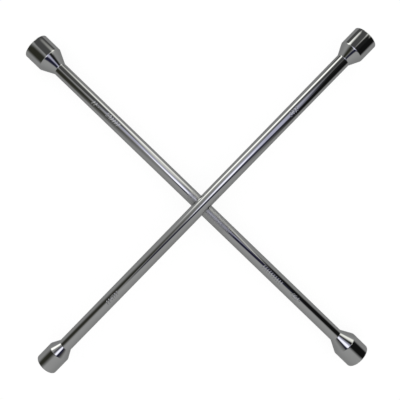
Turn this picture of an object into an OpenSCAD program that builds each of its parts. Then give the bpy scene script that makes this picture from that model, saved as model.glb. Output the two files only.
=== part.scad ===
// Four-way lug wrench: two round bars crossed and welded at their middles, with a
// hexagonal socket welded to each of the four ends.
//
// Frame: the bars cross at the origin. The under bar lies along X, just below Z = 0.
// The over bar lies along Y, just above it, and +Z points from the under bar to the over bar.

/* [Bars] */
// Length from the mouth of one socket to the mouth of the socket opposite
span = 508; // [400:2:600]
// Diameter of the two round bars
bar_d = 16; // [15:0.5:16.5]
// How far the two hot bars are pressed into each other where they cross
set_down = 3; // [2:0.5:4]
// Width of the weld that fills the crevice round the crossing
weld_w = 13.6; // [12.5:0.1:14]

/* [Socket bodies] */
// Length of the straight barrel, from the mouth to the cone
barrel_len = 21; // [21:0.5:26]
// Angle between the cone and the axis of its socket
cone_angle = 27; // [24:0.5:28]
// Outside diameter of the 17 mm socket
small_od = 27; // [27:0.25:28]
// Outside diameter of the 19 mm socket
medium_od = 28.5; // [28.25:0.25:29.5]
// Outside diameter of the 21 mm and the 22 mm socket
large_od = 31; // [30.5:0.25:32]
// Rounding of the outer edge of the mouth
rim_r = 0.8; // [0.4:0.1:1.2]
// Rounding of the edge between the barrel and the cone
shoulder_r = 3; // [1:0.5:4]

/* [Socket recesses] */
// Clearance added to the nut size, across the flats
nut_clearance = 0.2; // [0.1:0.05:0.4]
// Depth of the hexagon
hex_depth = 16; // [14:0.5:18]
// How far the countersunk mouth reaches beyond the corners of the hexagon
lead_in = 0.3; // [0.1:0.1:0.5]
// Diameter of the hole behind the hexagon that clears the wheel stud
stud_d = 15; // [14:0.25:15.5]
// Depth of the straight wall of the stud hole, measured from the mouth
stud_depth = 24; // [22:0.5:24]

/* [Hidden] */

bar_r = bar_d / 2;
bar_level = bar_r - set_down / 2;
drill_point_angle = 118;
past = 1;
weld_corner_r = 2;
$fn = 96;

// Length of a socket from its mouth to the end of the bar
function socket_len(od) = barrel_len + (od / 2 - bar_r) / tan(cone_angle);

// Outline of half a socket, with its axis on X = 0 and its mouth at Y = 0
module socket_outline(od) {
    r = od / 2;
    // Distance from the shoulder's corner to where its rounding starts
    t = shoulder_r * tan(cone_angle / 2);
    union() {
        polygon([
            [0, 0],
            [0, -socket_len(od)],
            [bar_r, -socket_len(od)],
            [r - t * sin(cone_angle), -barrel_len - t * cos(cone_angle)],
            [r, -barrel_len + t],
            [r, -rim_r],
            [r - rim_r, 0]
        ]);
        translate([r - shoulder_r, -barrel_len + t]) circle(shoulder_r);
        translate([r - rim_r, -rim_r]) circle(rim_r);
    }
}

// Hexagon for the nut, its countersunk mouth, and the drilled hole that clears the stud
module socket_recess(nut) {
    flats = nut + nut_clearance;
    corners = flats / cos(30);
    lead_r = corners / 2 + lead_in;
    translate([0, 0, -hex_depth]) linear_extrude(hex_depth + past) circle(d = corners, $fn = 6);
    translate([0, 0, flats / 2 - lead_r])
        cylinder(r1 = flats / 2, r2 = lead_r + past, h = lead_r - flats / 2 + past);
    translate([0, 0, -stud_depth]) cylinder(d = stud_d, h = stud_depth);
    point_len = stud_d / 2 / tan(drill_point_angle / 2);
    translate([0, 0, -stud_depth - point_len]) cylinder(r1 = 0, r2 = stud_d / 2, h = point_len);
}

// Socket with its mouth at the origin, facing +Z
module socket(nut, od) {
    difference() {
        rotate_extrude() socket_outline(od);
        socket_recess(nut);
    }
}

// Carries a socket out to the end of the arm that points in the given direction
module at_arm_end(direction, level) {
    rotate([0, 0, direction])
        translate([span / 2, 0, level])
            rotate([0, 90, 0]) children();
}

// Round bar along X that ends where the two sockets on it begin
module round_bar(start_od, end_od) {
    start = -span / 2 + socket_len(start_od);
    end = span / 2 - socket_len(end_od);
    translate([start, 0, 0]) rotate([0, 90, 0]) cylinder(d = bar_d, h = end - start);
}

// Block that presses a flat seat onto a bar, under the width of the bar that crosses it
module seat() {
    translate([-bar_r, -bar_r - past, 0]) cube([bar_d, bar_d + 2 * past, set_down]);
}

module under_bar() {
    color("silver") difference() {
        translate([0, 0, -bar_level]) round_bar(large_od, large_od);
        seat();
    }
}

module over_bar() {
    color("silver") rotate([0, 0, 90]) difference() {
        translate([0, 0, bar_level]) round_bar(small_od, medium_od);
        mirror([0, 0, 1]) seat();
    }
}

// Weld metal between the two bars, in the crevice round their flat seats
module centre_weld() {
    straight = weld_w - 2 * weld_corner_r;
    color("darkgray") difference() {
        translate([0, 0, -bar_level]) linear_extrude(2 * bar_level) union() {
            square([weld_w, straight], center = true);
            square([straight, weld_w], center = true);
            for (x = [-1, 1], y = [-1, 1])
                translate([x, y] * straight / 2) circle(weld_corner_r);
        }
        under_bar();
        over_bar();
    }
}

module socket_17mm() {
    color("silver") at_arm_end(-90, bar_level) socket(17, small_od);
}

module socket_19mm() {
    color("silver") at_arm_end(90, bar_level) socket(19, medium_od);
}

module socket_21mm() {
    color("silver") at_arm_end(180, -bar_level) socket(21, large_od);
}

module socket_22mm() {
    color("silver") at_arm_end(0, -bar_level) socket(22, large_od);
}

under_bar();
over_bar();
centre_weld();
socket_17mm();
socket_19mm();
socket_21mm();
socket_22mm();
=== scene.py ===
import math

import bmesh
import bpy
import numpy as np
from mathutils import Matrix, Vector


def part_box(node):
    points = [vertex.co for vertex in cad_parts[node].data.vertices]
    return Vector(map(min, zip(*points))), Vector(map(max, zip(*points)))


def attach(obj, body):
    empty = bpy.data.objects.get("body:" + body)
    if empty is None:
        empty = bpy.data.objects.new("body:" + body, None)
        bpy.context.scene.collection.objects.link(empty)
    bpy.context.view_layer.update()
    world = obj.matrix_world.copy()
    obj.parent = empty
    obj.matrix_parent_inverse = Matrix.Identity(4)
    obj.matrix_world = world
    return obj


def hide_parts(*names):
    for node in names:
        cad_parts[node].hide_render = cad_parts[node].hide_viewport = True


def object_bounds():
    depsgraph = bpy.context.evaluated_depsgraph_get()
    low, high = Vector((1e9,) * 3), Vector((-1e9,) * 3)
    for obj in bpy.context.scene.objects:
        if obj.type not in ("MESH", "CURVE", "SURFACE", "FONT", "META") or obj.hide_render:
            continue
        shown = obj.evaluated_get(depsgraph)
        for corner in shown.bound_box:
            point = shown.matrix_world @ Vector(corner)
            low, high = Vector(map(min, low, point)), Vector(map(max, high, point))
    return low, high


# Looks of a four-way lug wrench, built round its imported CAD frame. +Z is up, the under bar lies
# along X, the over bar along Y, and they cross at the origin. Pieces are worked out in
# millimetres and turned into metres by mesh_object. Materials and the studio are in metres.

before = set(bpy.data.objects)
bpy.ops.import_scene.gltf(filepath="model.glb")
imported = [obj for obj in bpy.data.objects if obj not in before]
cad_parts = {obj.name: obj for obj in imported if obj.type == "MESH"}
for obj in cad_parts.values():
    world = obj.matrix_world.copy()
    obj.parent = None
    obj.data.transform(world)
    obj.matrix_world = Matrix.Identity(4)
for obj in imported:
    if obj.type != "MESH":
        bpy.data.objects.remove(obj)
cad_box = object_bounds()

MM = 0.001
UP = Vector((0, 0, 1))


# ---------------------------------------------------------------- sizes from the frame

def box_of(node):
    """Lowest and highest corner of a CAD node, in millimetres."""
    low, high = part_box(node)
    return low / MM, high / MM


OVER_LOW, OVER_HIGH = box_of("over_bar")
BAR_R = (OVER_HIGH.z - OVER_LOW.z) / 2
LEVEL = (OVER_HIGH.z + OVER_LOW.z) / 2

# Node, nut size across the flats, outward direction of its arm, height of its axis
SOCKETS = (
    ("socket_17mm", 17, Vector((0, -1, 0)), LEVEL),
    ("socket_19mm", 19, Vector((0, 1, 0)), LEVEL),
    ("socket_21mm", 21, Vector((-1, 0, 0)), -LEVEL),
    ("socket_22mm", 22, Vector((1, 0, 0)), -LEVEL),
)

# Sockets: outside, then hexagon and stud hole
BARREL_LEN = 21
RIM_R = 0.8
SHOULDER_R = 3
TAIL_R = 1.6
NUT_CLEARANCE = 0.2
HEX_DEPTH = 16
HEX_CORNER_R = 0.6
LEAD_IN = 0.3
STUD_R = 7.5
STUD_DEPTH = 24
DRILL_POINT = math.radians(59)


# ---------------------------------------------------------------- mesh helpers

# Edges that turn by more than this stay sharp
CREASE = math.radians(24)


def mesh_object(name, rings, closed_loop=False):
    """Joins rings of equal length with quads. A ring of one point closes the end of a skin."""
    verts, starts = [], []
    for ring in rings:
        starts.append(len(verts))
        verts += [p * MM for p in ring]
    faces = []
    pairs = list(zip(range(len(rings) - 1), range(1, len(rings))))
    if closed_loop:
        pairs.append((len(rings) - 1, 0))
    for a, b in pairs:
        count = max(len(rings[a]), len(rings[b]))
        for i in range(count):
            j = (i + 1) % count
            face = [starts[a] + i % len(rings[a]), starts[a] + j % len(rings[a]),
                    starts[b] + j % len(rings[b]), starts[b] + i % len(rings[b])]
            faces.append(list(dict.fromkeys(face)))
    mesh = bpy.data.meshes.new(name)
    mesh.from_pydata(verts, [], faces)
    work = bmesh.new()
    work.from_mesh(mesh)
    bmesh.ops.recalc_face_normals(work, faces=work.faces)
    work.to_mesh(mesh)
    work.free()
    mesh.shade_smooth()
    mesh.set_sharp_from_angle(angle=CREASE)
    piece = bpy.data.objects.new(name, mesh)
    bpy.context.scene.collection.objects.link(piece)
    return piece


def arc(centre, radius, start, end, steps):
    """Points of a circle's arc from one angle to another, in degrees."""
    angles = [math.radians(start + (end - start) * i / steps) for i in range(steps + 1)]
    return [(centre[0] + radius * math.cos(a), centre[1] + radius * math.sin(a)) for a in angles]


def spread(start, end, step):
    """Even stops from start, no further apart than step. The end itself is left out."""
    count = max(1, math.ceil((end - start) / step))
    return [start + (end - start) * i / count for i in range(count)]


def smooth(x):
    """Eases from 0 to 1 as x goes from 0 to 1."""
    x = np.clip(x, 0, 1)
    return x * x * (3 - 2 * x)


# ---------------------------------------------------------------- sockets

# Steps round a socket, along its rounded edges and along its barrel
ROUND_STEPS = 144
TAIL_STEPS = 6
EDGE_STEPS = 8
BARREL_STEP = 4
RIM_GAP = 1
# How much smaller than the bar the hidden end face is, and how far in the recess the painted shade and
# the extra roughness reach full strength
END_INSET = 2
SHADE_DEPTH = 5
FLAT_ANGLE = math.pi / 3


def hex_radius(flats, angle):
    """Distance from the axis to the hexagon's wall. Its corners are rounded and point along Z."""
    corner = flats / math.sqrt(3)
    centre = corner - HEX_CORNER_R / math.sin(FLAT_ANGLE)
    off_corner = (angle + FLAT_ANGLE / 2) % FLAT_ANGLE - FLAT_ANGLE / 2
    tangent_across = HEX_CORNER_R * math.sin(FLAT_ANGLE / 2)
    tangent = math.atan2(tangent_across, centre + HEX_CORNER_R * math.cos(FLAT_ANGLE / 2))
    if abs(off_corner) < tangent:
        reach = math.sqrt(HEX_CORNER_R ** 2 - (centre * math.sin(off_corner)) ** 2)
        return centre * math.cos(off_corner) + reach
    return flats / 2 / math.cos(FLAT_ANGLE / 2 - abs(off_corner))


def socket_outside(tail, mouth, radius):
    """Outline from the bar to the edge of the mouth, as (distance along the arm, radius)."""
    shoulder = mouth - BARREL_LEN
    slope = math.atan2(radius - BAR_R, shoulder - tail)
    degrees = math.degrees(slope)
    tail_run = TAIL_R * math.tan(slope / 2)
    shoulder_run = SHOULDER_R * math.tan(slope / 2)
    outline = arc((tail - tail_run, BAR_R + TAIL_R), TAIL_R, -90, -90 + degrees, TAIL_STEPS)
    cone_start = outline[-1]
    turn_centre = (shoulder + shoulder_run, radius - SHOULDER_R)
    turn = arc(turn_centre, SHOULDER_R, 90 + degrees, 90, EDGE_STEPS)
    for share in (0.25, 0.5, 0.75):
        outline.append(tuple(a + (b - a) * share for a, b in zip(cone_start, turn[0])))
    outline += turn
    barrel_stops = spread(shoulder + SHOULDER_R, mouth - RIM_R - RIM_GAP, BARREL_STEP)
    outline += [(x, radius) for x in barrel_stops]
    outline += arc((mouth - RIM_R, radius - RIM_R), RIM_R, 90, 0, EDGE_STEPS)
    return outline


def build_socket(node, nut, outward, level):
    """A socket: turned outside, countersunk mouth, hexagon, and the stud hole behind it."""
    low, high = box_of(node)
    near, far = sorted((abs(low.dot(outward)), abs(high.dot(outward))))
    side = UP.cross(outward)
    radius = (high - low).z / 2
    flats = nut + NUT_CLEARANCE
    lead_r = flats / math.sqrt(3) + LEAD_IN
    angles = [2 * math.pi * i / ROUND_STEPS for i in range(ROUND_STEPS)]
    hexagon = [hex_radius(flats, a) for a in angles]

    def ring(x, radii):
        """Ring of points at one distance, or at one distance each, from the crossing."""
        xs = x if isinstance(x, list) else [x] * ROUND_STEPS
        rs = radii if isinstance(radii, list) else [radii] * ROUND_STEPS
        return [outward * xs[i] + side * (rs[i] * math.sin(a)) + UP * (level + rs[i] * math.cos(a))
                for i, a in enumerate(angles)]

    axis = outward * near + UP * level
    rings = [[axis], ring(near, BAR_R - END_INSET)]
    rings += [ring(x, r) for x, r in socket_outside(near, far, radius)]
    rings.append(ring(far, (radius - RIM_R + lead_r) / 2))
    skin = sum(len(points) for points in rings)
    rings.append(ring(far, lead_r))
    lead_end = [far - (lead_r - r) for r in hexagon]
    for share in (0.35, 0.7, 1):
        rings.append(ring([far + (x - far) * share for x in lead_end],
                          [lead_r + (r - lead_r) * share for r in hexagon]))
    floor = far - HEX_DEPTH
    for share in (0.2, 0.4, 0.6, 0.8, 1):
        rings.append(ring([x + (floor - x) * share for x in lead_end], hexagon))
    rings.append(ring(floor, [(r + STUD_R) / 2 for r in hexagon]))
    for depth in (HEX_DEPTH, (HEX_DEPTH + STUD_DEPTH) / 2, STUD_DEPTH):
        rings.append(ring(far - depth, STUD_R))
    for share in (0.66, 0.33):
        point = far - STUD_DEPTH - STUD_R * (1 - share) / math.tan(DRILL_POINT)
        rings.append(ring(point, STUD_R * share))
    tip = far - STUD_DEPTH - STUD_R / math.tan(DRILL_POINT)
    rings.append([outward * tip + UP * level])
    piece = mesh_object("shown_" + node, rings)
    mark_inside(piece.data, skin, outward, far)
    return piece


def mark_inside(mesh, skin, outward, mouth):
    """Vertex value "inside": 0 on the outer skin, the first points, then rising to 1 in the recess. It
    drives the recess's painted shade and roughness.
    """
    values = [0.0] * skin
    for vertex in mesh.vertices[skin:]:
        depth = mouth - vertex.co.dot(outward) / MM
        values.append(min(1, depth / SHADE_DEPTH))
    mesh.attributes.new("inside", "FLOAT", "POINT").data.foreach_set("value", values)


# ---------------------------------------------------------------- stamped marks

# Strokes on a box one unit high, as chains of (across, up)
STROKES = {
    "1": [[(0.15, 0.78), (0.42, 1), (0.42, 0)]],
    "2": [[(0.04, 0.76), (0.14, 0.95), (0.38, 1), (0.56, 0.86), (0.56, 0.62), (0.04, 0), (0.62, 0)]],
    "7": [[(0.02, 1), (0.6, 1), (0.22, 0)]],
    "9": [[(0.57, 0.7), (0.4, 0.5), (0.15, 0.54), (0.03, 0.75), (0.15, 0.96), (0.42, 0.98),
           (0.57, 0.7), (0.48, 0.28), (0.2, 0)]],
    "/": [[(0.1, 0), (0.5, 1)]],
    "-": [[(0.08, 0.5), (0.52, 0.5)]],
}
GLYPH_H = 3.8
GLYPH_PITCH = 3.1
STROKE_R = 0.36
STROKE_WALL = 0.36
STAMP_DEPTH = 0.2

# Bar: (text, where it starts along the bar in mm, where its middle lies round it in degrees)
STAMPS = {
    "under_bar": (("//--", -166, -2), ("21////", -145, 6), ("//////////", 98, -2), ("-22/-", 143, -2)),
    "over_bar": (("//17//", -151, -1), ("/19/", 138, 0)),
}


def stamp_strokes(stamps):
    """Line pieces of all stamps on a bar, as (x0, s0, x1, s1): along the bar and round it, in mm."""
    pieces = []
    for text, start, degrees in stamps:
        base = math.radians(degrees) * BAR_R - GLYPH_H / 2
        for i, glyph in enumerate(text):
            left = start + i * GLYPH_PITCH
            for chain in STROKES[glyph]:
                points = [(left + x * GLYPH_H, base + y * GLYPH_H) for x, y in chain]
                pieces += [(*a, *b) for a, b in zip(points, points[1:])]
    return np.array(pieces)


def stamp_depth(strokes, x, s):
    """How deep the stamps are pressed in at each place, for arrays of places."""
    nearest = np.full(np.broadcast(x, s).shape, np.inf)
    for x0, s0, x1, s1 in strokes:
        dx, ds = x1 - x0, s1 - s0
        share = np.clip(((x - x0) * dx + (s - s0) * ds) / (dx * dx + ds * ds), 0, 1)
        nearest = np.minimum(nearest, np.hypot(x - x0 - share * dx, s - s0 - share * ds))
    return STAMP_DEPTH * smooth((STROKE_R + STROKE_WALL / 2 - nearest) / STROKE_WALL)


# ---------------------------------------------------------------- bars

# Steps at the stamps, at the seat and elsewhere, and how far the finer ones reach past their zone
FINE = 0.2
SEAT_STEP = 0.4
COARSE = 8
COARSE_DEGREES = 4
ZONE_MARGIN = 1


def seat_height(along):
    """Where the pressed seat lies between the bars, at each distance from the middle of a bar."""
    inside = np.abs(along) < BAR_R
    dip = LEVEL - np.sqrt(np.maximum(BAR_R ** 2 - along ** 2, 0))
    return np.where(inside, np.maximum(dip, 0), np.inf)


def bar_stations(start, end, stamps):
    """Stops along a bar: fine at its stamps and seat, coarse elsewhere."""
    zones = [(first - ZONE_MARGIN, first + len(text) * GLYPH_PITCH + ZONE_MARGIN, FINE)
             for text, first, _ in stamps]
    zones.append((-BAR_R - ZONE_MARGIN, BAR_R + ZONE_MARGIN, SEAT_STEP))
    stops, reached = [], start
    for low, high, step in sorted(zones):
        stops += spread(reached, low, COARSE) + spread(low, high, step)
        reached = high
    return np.array(stops + spread(reached, end, COARSE) + [end])


def build_bar(node, along, level, stamps):
    """A round bar with its pressed seat and its stamps."""
    low, high = box_of(node)
    start, end = low.dot(along), high.dot(along)
    side = UP.cross(along)
    stations = bar_stations(start, end, stamps)
    margin = math.degrees((GLYPH_H / 2 + ZONE_MARGIN) / BAR_R)
    first = min(middle for _, _, middle in stamps) - margin
    last = max(middle for _, _, middle in stamps) + margin
    fine_degrees = spread(first, last, math.degrees(FINE / BAR_R))
    angle = np.radians(fine_degrees + spread(last, first + 360, COARSE_DEGREES))
    x, around = np.meshgrid(stations, angle, indexing="ij")
    arc_mm = np.remainder(around + np.pi, 2 * np.pi) * BAR_R - np.pi * BAR_R
    radius = BAR_R - stamp_depth(stamp_strokes(stamps), x, arc_mm)
    across = radius * np.sin(around)
    height = level + radius * np.cos(around)
    if level < 0:
        height = np.minimum(height, seat_height(x))
    else:
        height = np.maximum(height, -seat_height(x))
    rings = [[along * start + UP * level]]
    for i in range(len(stations)):
        rings.append([along * x[i, j] + side * across[i, j] + UP * height[i, j]
                      for j in range(len(angle))])
    rings.append([along * end + UP * level])
    return mesh_object("shown_" + node, rings)


# ---------------------------------------------------------------- weld

BEAD_R = 1.2
BEAD_STEPS = 240
BEAD_SIDES = 20
HALVINGS = 40
# Ripples and slower swells round the bead, as shares of its radius
RIPPLES = 44
RIPPLE_SIZE = 0.07
SWELLS = 3
SWELL_SIZE = 0.05
SWELL_START = 1


def crossing_radius(direction):
    """Distance from the middle to where the surfaces of the two round bars meet."""
    low, high = 0, BAR_R
    for _ in range(HALVINGS):
        reach = (low + high) / 2
        over = math.sqrt(BAR_R ** 2 - (reach * math.cos(direction)) ** 2)
        under = math.sqrt(BAR_R ** 2 - (reach * math.sin(direction)) ** 2)
        if over + under > 2 * LEVEL:
            low = reach
        else:
            high = reach
    return low


def build_weld():
    """A rippled bead that follows the crevice between the two bars all the way round."""
    path = []
    for i in range(BEAD_STEPS):
        direction = 2 * math.pi * i / BEAD_STEPS
        reach = crossing_radius(direction)
        x, y = reach * math.cos(direction), reach * math.sin(direction)
        path.append(Vector((x, y, LEVEL - math.sqrt(BAR_R ** 2 - x * x))))
    rings = []
    for i, place in enumerate(path):
        forward = (path[(i + 1) % BEAD_STEPS] - path[i - 1]).normalized()
        level_place = Vector((place.x, place.y, 0))
        outward = (level_place - forward * forward.dot(level_place)).normalized()
        up = forward.cross(outward)
        turn = 2 * math.pi * i / BEAD_STEPS
        ripple = RIPPLE_SIZE * math.sin(RIPPLES * turn)
        swell = SWELL_SIZE * math.sin(SWELLS * turn + SWELL_START)
        size = BEAD_R * (1 + ripple + swell)
        rings.append([place + (outward * math.cos(a) + up * math.sin(a)) * size
                      for a in (2 * math.pi * j / BEAD_SIDES for j in range(BEAD_SIDES))])
    return mesh_object("shown_centre_weld", rings, closed_loop=True)


# ---------------------------------------------------------------- materials

# Stretch of a noise that is alike along all three axes
EVEN = (1, 1, 1)


class Shader:
    """A material's node tree, with a short way to add a node and wire its inputs."""

    def __init__(self, name):
        self.material = bpy.data.materials.new(name)
        self.material.use_nodes = True
        self.tree = self.material.node_tree
        self.tree.nodes.clear()
        output = self.tree.nodes.new("ShaderNodeOutputMaterial")
        self.surface = output.inputs["Surface"]

    def add(self, kind, inputs=None, **settings):
        """A new node. An input that is given another node's socket is wired, and any other is set."""
        node = self.tree.nodes.new("ShaderNode" + kind)
        for key, value in settings.items():
            setattr(node, key, value)
        for key, value in (inputs or {}).items():
            if isinstance(value, bpy.types.NodeSocket):
                self.tree.links.new(value, node.inputs[key])
            else:
                node.inputs[key].default_value = value
        return node

    def link(self, source, target):
        self.tree.links.new(source, target)

    def place(self, stretch=EVEN):
        """Place on the object in metres, each axis multiplied by a number."""
        where = self.add("TexCoord").outputs["Object"]
        return self.add("VectorMath", {0: where, 1: stretch}, operation="MULTIPLY").outputs[0]

    def noise(self, stretch, scale, detail=3.0, roughness=0.55):
        """Noise on the object, about 0.5 on average."""
        inputs = {"Vector": self.place(stretch), "Scale": scale, "Detail": detail, "Roughness": roughness}
        return self.add("TexNoise", inputs).outputs["Fac"]

    def remap(self, value, low, high, to_low, to_high):
        """Eases from one number to another as a value goes from low to high."""
        inputs = {"Value": value, "From Min": low, "From Max": high, "To Min": to_low, "To Max": to_high}
        return self.add("MapRange", inputs, interpolation_type="SMOOTHSTEP").outputs[0]

    def maths(self, operation, a, b=0.0):
        return self.add("Math", {0: a, 1: b}, operation=operation).outputs[0]

    def mix(self, share, a, b):
        """Colour a where the share is 0, and b where it is 1."""
        inputs = {"Factor": share, "A": a, "B": b}
        node = self.add("Mix", None, data_type="RGBA")
        for socket in node.inputs:
            if socket.enabled and socket.name in inputs:
                value = inputs[socket.name]
                if isinstance(value, bpy.types.NodeSocket):
                    self.link(value, socket)
                else:
                    socket.default_value = value
        return next(s for s in node.outputs if s.enabled)


CHROME = (0.55, 0.556, 0.554, 1)
CHROME_WORN = (0.50, 0.50, 0.492, 1)
# Painted shade: the dark colour that the socket plate turns to deep in its recess
RECESS_PAINTED_SHADE = (0.26, 0.25, 0.235, 1)
WELD_DARK = (0.36, 0.36, 0.355, 1)
WELD_PALE = (0.5, 0.5, 0.495, 1)

# Dulled stretch of the under bar, in metres along X: it comes in over the first pair of places
# and fades over the second
HEAT_IN = (-0.026, -0.014)
HEAT_OUT = (0.03, 0.062)
HEAT_ROUGH = 0.36
# Height over which the over bar's dulled underside fades, and its strength beside the under bar's
UNDERSIDE = 0.003
UNDERSIDE_HEAT = 0.3


def bar_chrome(name, along_x):
    """Chrome plate on a drawn bar: faint lines along it and scuffs.

    The under bar is dulled beside the crossing, and the over bar a little along its underside."""
    sh = Shader(name)
    stretch = (1, 14, 14) if along_x else (14, 1, 14)
    lines = sh.noise(stretch, scale=110, detail=5)
    scuffs = sh.noise(EVEN, scale=240, detail=6, roughness=0.7)
    cloud = sh.noise(EVEN, scale=45)
    here = sh.add("SeparateXYZ", {0: sh.place()}).outputs
    if along_x:
        heat_in = sh.remap(here["X"], *HEAT_IN, 0, 1)
        heat = sh.maths("MULTIPLY", heat_in, sh.remap(here["X"], *HEAT_OUT, 1, 0))
    else:
        heat = sh.remap(sh.maths("ABSOLUTE", here["Z"]), 0, UNDERSIDE, UNDERSIDE_HEAT, 0)
    base = sh.mix(sh.remap(cloud, 0.3, 0.75, 0, 0.45), CHROME, CHROME_WORN)
    fine = sh.remap(lines, 0.35, 0.8, 0.02, 0.04)
    worn = sh.maths("ADD", fine, sh.remap(scuffs, 0.58, 0.8, 0, 0.04))
    rough = sh.maths("ADD", worn, sh.maths("MULTIPLY", heat, HEAT_ROUGH))
    wobble = sh.maths("ADD", sh.maths("MULTIPLY", lines, 0.5), sh.maths("MULTIPLY", scuffs, 0.12))
    bump = sh.add("Bump", {"Height": wobble, "Strength": 0.02, "Distance": 0.0002})
    shader = sh.add("BsdfPrincipled", {"Base Color": base, "Metallic": 1.0, "Roughness": rough,
                                       "Normal": bump.outputs["Normal"]})
    sh.link(shader.outputs[0], sh.surface)
    return sh.material


def socket_chrome():
    """Chrome plate on turned steel. It is rougher inside the recess, and painted shade darkens its colour
    deeper in.
    """
    sh = Shader("socket_chrome")
    inside = sh.add("Attribute", attribute_name="inside").outputs["Fac"]
    scuffs = sh.noise(EVEN, scale=300, detail=6, roughness=0.7)
    cloud = sh.noise(EVEN, scale=60)
    plate = sh.mix(sh.remap(cloud, 0.3, 0.75, 0, 0.4), CHROME, CHROME_WORN)
    # Painted shade: the plate colour darkens towards the recess shade colour as the depth in the recess
    # rises
    base = sh.mix(inside, plate, RECESS_PAINTED_SHADE)
    outer = sh.maths("ADD", 0.02, sh.remap(scuffs, 0.55, 0.8, 0, 0.04))
    rough = sh.maths("ADD", outer, sh.maths("MULTIPLY", inside, 0.32))
    bump = sh.add("Bump", {"Height": scuffs, "Strength": 0.02, "Distance": 0.0002})
    shader = sh.add("BsdfPrincipled", {"Base Color": base, "Metallic": 1.0, "Roughness": rough,
                                       "Normal": bump.outputs["Normal"]})
    sh.link(shader.outputs[0], sh.surface)
    return sh.material


def weld_metal():
    """Plated weld metal: satin, with a fine grain."""
    sh = Shader("weld_metal")
    grain = sh.noise(EVEN, scale=900, detail=5)
    base = sh.mix(grain, WELD_DARK, WELD_PALE)
    rough = sh.remap(grain, 0.3, 0.7, 0.22, 0.4)
    bump = sh.add("Bump", {"Height": grain, "Strength": 0.35, "Distance": 0.0003})
    shader = sh.add("BsdfPrincipled", {"Base Color": base, "Metallic": 1.0, "Roughness": rough,
                                       "Normal": bump.outputs["Normal"]})
    sh.link(shader.outputs[0], sh.surface)
    return sh.material


# ---------------------------------------------------------------- the wrench

def finish_piece(piece, node, material):
    """Puts a piece in the place of its CAD node, with its material."""
    piece.data.materials.append(material)
    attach(piece, "root")
    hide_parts(node)


finish_piece(build_bar("under_bar", Vector((1, 0, 0)), -LEVEL, STAMPS["under_bar"]),
             "under_bar", bar_chrome("under_bar_chrome", True))
finish_piece(build_bar("over_bar", Vector((0, 1, 0)), LEVEL, STAMPS["over_bar"]),
             "over_bar", bar_chrome("over_bar_chrome", False))
finish_piece(build_weld(), "centre_weld", weld_metal())
socket_material = socket_chrome()
for node, nut, outward, level in SOCKETS:
    finish_piece(build_socket(node, nut, outward, level), node, socket_material)


# ---------------------------------------------------------------- studio

# Soft panels light the metal. They are painted on two shells round the wrench: a tent, and a
# nearer sheet of hanging panels that is clear between them. Only the metal's reflections see
# either. A direction is an azimuth, counted from VIEW_TURN, which is about the picture's right,
# towards its top, and a zenith angle from straight up.
VIEW_TURN = math.radians(45)
TENT_R = 1.0
HANGING_R = 0.5
TENT_STEP = 0.75
HANGING_STEP = 0.5
FLOOR_REACH = 6
FLOOR_GAP = 0.0002
FLOOR_GLOW = (0.9, 0.9, 0.9, 1)
FLOOR_SKIN = (0.12, 0.12, 0.12, 1)

# Camera: metres, and millimetres for its lens and sensor
CAMERA_PLACE = Vector((-0.0384, 0.0440, 0.5538))
CAMERA_AIM = Vector((-0.0051, 0.0039, 0))
PICTURE_UP = math.radians(134.1)
LENS = 44.55
SENSOR = 36


def tent_direction(azimuth, zenith):
    """Unit vector towards a place on a shell."""
    a, z = math.radians(azimuth) + VIEW_TURN, math.radians(zenith)
    return np.array([math.sin(z) * math.cos(a), math.sin(z) * math.sin(a), math.cos(z)])


# Panels, each laid over the ones before it: azimuth and zenith angle of its middle, half width,
# half height, roll and softness of its edge in degrees, and brightness as RGB
TENT_LOW = (0.3, 0.3, 0.3)
TENT_HIGH = (0.5, 0.5, 0.5)
TENT_PANELS = (
    ("dark_column", 90, 65, 20, 40, 0, 5, (0.1, 0.1, 0.1)),
    ("black_flag", 0, 50, 25, 35, 20, 10, (0.01, 0.01, 0.01)),
    ("olive_flag", 180, 50, 20, 30, -15, 15, (0.04, 0.04, 0.03)),
    ("strip_right", 45, 60, 15, 25, -15, 2, (0.9, 0.9, 0.85)),
    ("box_right", 60, 75, 15, 10, 0, 10, (1.6, 1.6, 1.5)),
    ("box_left", 120, 70, 20, 10, 15, 5, (2, 2, 1.9)),
)
HANGING_PANELS = (
    ("lamp_glow", 45, 15, 25, 15, 0, 10, (0.7, 0.7, 0.9)),
    ("lamp", 90, 5, 10, 10, 0, 2, (1.7, 1.7, 1.9)),
    ("lamp_edge", 310, 15, 30, 10, 30, 5, (0.02, 0.02, 0.05)),
    ("near_flag", 35, 45, 10, 10, 0, 5, (0.02, 0.02, 0.02)),
)


def panel_share(directions, azimuth, zenith, width, height, roll, soft):
    """How much of a panel covers each of an array of unit vectors, from 0 to 1."""
    middle = tent_direction(azimuth, zenith)
    across = tent_direction(azimuth + 90, 90)
    down = tent_direction(azimuth, zenith + 90)
    c, s = math.cos(math.radians(roll)), math.sin(math.radians(roll))
    depth = directions @ middle
    wide = np.degrees(np.arctan2(directions @ (across * c + down * s), depth))
    tall = np.degrees(np.arctan2(directions @ (down * c - across * s), depth))
    return ((1 - smooth((np.abs(wide) - width + soft) / (2 * soft)))
            * (1 - smooth((np.abs(tall) - height + soft) / (2 * soft))))


def lay_panels(light, cover, directions, panels):
    """Brightness and cover of a shell, at an array of unit vectors, once its panels are laid."""
    for _, *place, colour in panels:
        share = panel_share(directions, *place)[:, None]
        light = light * (1 - share) + np.array(colour) * share
        cover = cover + (1 - cover) * share
    return light, cover


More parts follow.
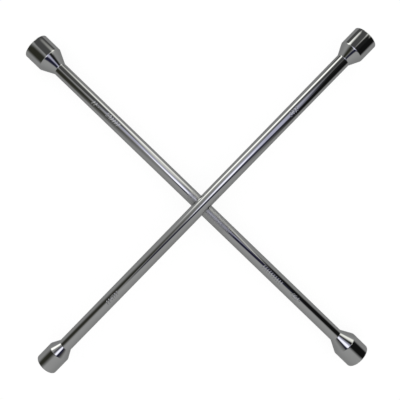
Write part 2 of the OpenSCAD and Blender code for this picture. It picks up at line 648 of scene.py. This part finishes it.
def build_shell(name, radius, step, paint):
    """Glowing sphere round the wrench, clear where its cover is 0, seen by reflections only."""
    round_angles = np.radians(np.arange(0, 360, step))
    down_angles = np.radians(np.arange(0, 180 + step / 2, step))
    down, turn = np.meshgrid(down_angles, round_angles, indexing="ij")
    places = np.stack([np.sin(down) * np.cos(turn), np.sin(down) * np.sin(turn), np.cos(down)], -1)
    rows, columns = down.shape
    index = np.arange(rows * columns).reshape(rows, columns)
    after = np.roll(index, -1, axis=1)
    faces = np.stack([index[:-1], after[:-1], after[1:], index[1:]], -1).reshape(-1, 4)
    places = places.reshape(-1, 3)
    mesh = bpy.data.meshes.new(name)
    mesh.from_pydata((places * radius).tolist(), [], faces.tolist())
    mesh.shade_smooth()
    light, cover = paint(places)
    for key, values in (("light", light), ("clear", np.broadcast_to(1 - cover, light.shape))):
        colours = np.concatenate([values, np.ones((len(values), 1))], axis=1)
        mesh.attributes.new(key, "FLOAT_COLOR", "POINT").data.foreach_set("color", colours.ravel())
    sh = Shader(name)
    light_painted = sh.add("Attribute", attribute_name="light").outputs["Color"]
    glow = sh.add("Emission", {"Color": light_painted})
    clear_painted = sh.add("Attribute", attribute_name="clear").outputs["Color"]
    clear = sh.add("BsdfTransparent", {"Color": clear_painted})
    both = sh.add("AddShader", {0: glow.outputs[0], 1: clear.outputs[0]})
    sh.link(both.outputs[0], sh.surface)
    sh.material.cycles.emission_sampling = "NONE"
    mesh.materials.append(sh.material)
    shell = bpy.data.objects.new(name, mesh)
    bpy.context.scene.collection.objects.link(shell)
    shell.visible_camera = shell.visible_diffuse = shell.visible_shadow = False
    shell.visible_transmission = shell.visible_volume_scatter = False


def paint_tent(directions):
    """The tent: dim below, brighter above, with its panels."""
    height = (directions[:, 2:] + 1) / 2
    light = np.array(TENT_LOW) * (1 - height) + np.array(TENT_HIGH) * height
    return lay_panels(light, np.ones((len(directions), 1)), directions, TENT_PANELS)


def paint_hanging(directions):
    """The nearer panels, with nothing between them."""
    count = len(directions)
    return lay_panels(np.zeros((count, 3)), np.zeros((count, 1)), directions, HANGING_PANELS)


def build_floor():
    """Pale light table under the lowest point of the wrench, which leaves hardly any shadow."""
    mesh = bpy.data.meshes.new("floor")
    height = cad_box[0].z - FLOOR_GAP
    quarters = ((-1, -1), (1, -1), (1, 1), (-1, 1))
    corners = [(x * FLOOR_REACH, y * FLOOR_REACH, height) for x, y in quarters]
    mesh.from_pydata(corners, [], [(0, 1, 2, 3)])
    sh = Shader("pale_floor")
    glow = sh.add("Emission", {"Color": FLOOR_GLOW})
    skin = sh.add("BsdfDiffuse", {"Color": FLOOR_SKIN})
    both = sh.add("AddShader", {0: glow.outputs[0], 1: skin.outputs[0]})
    sh.link(both.outputs[0], sh.surface)
    sh.material.cycles.emission_sampling = "NONE"
    mesh.materials.append(sh.material)
    floor = bpy.data.objects.new("floor", mesh)
    bpy.context.scene.collection.objects.link(floor)
    floor.visible_glossy = False


def build_world():
    """Even white light from all round."""
    world = bpy.data.worlds.new("soft_light")
    world.use_nodes = True
    background = world.node_tree.nodes["Background"]
    background.inputs["Color"].default_value = (1, 1, 1, 1)
    background.inputs["Strength"].default_value = 1
    bpy.context.scene.world = world


def build_camera():
    """Camera above the crossing, tilted a little. The picture's top lies between +Y and -X."""
    back = (CAMERA_PLACE - CAMERA_AIM).normalized()
    towards_top = Vector((math.cos(PICTURE_UP), math.sin(PICTURE_UP), 0))
    across = towards_top.cross(back).normalized()
    up = back.cross(across)
    data = bpy.data.cameras.new("camera")
    data.sensor_width = SENSOR
    data.lens = LENS
    camera = bpy.data.objects.new("camera", data)
    facing = Matrix((across, up, back)).transposed().to_4x4()
    camera.matrix_world = Matrix.Translation(CAMERA_PLACE) @ facing
    bpy.context.scene.collection.objects.link(camera)
    bpy.context.scene.camera = camera


build_shell("light_tent", TENT_R, TENT_STEP, paint_tent)
build_shell("hanging_panels", HANGING_R, HANGING_STEP, paint_hanging)
build_floor()
build_world()
build_camera()
bpy.context.scene.view_settings.view_transform = "Standard"
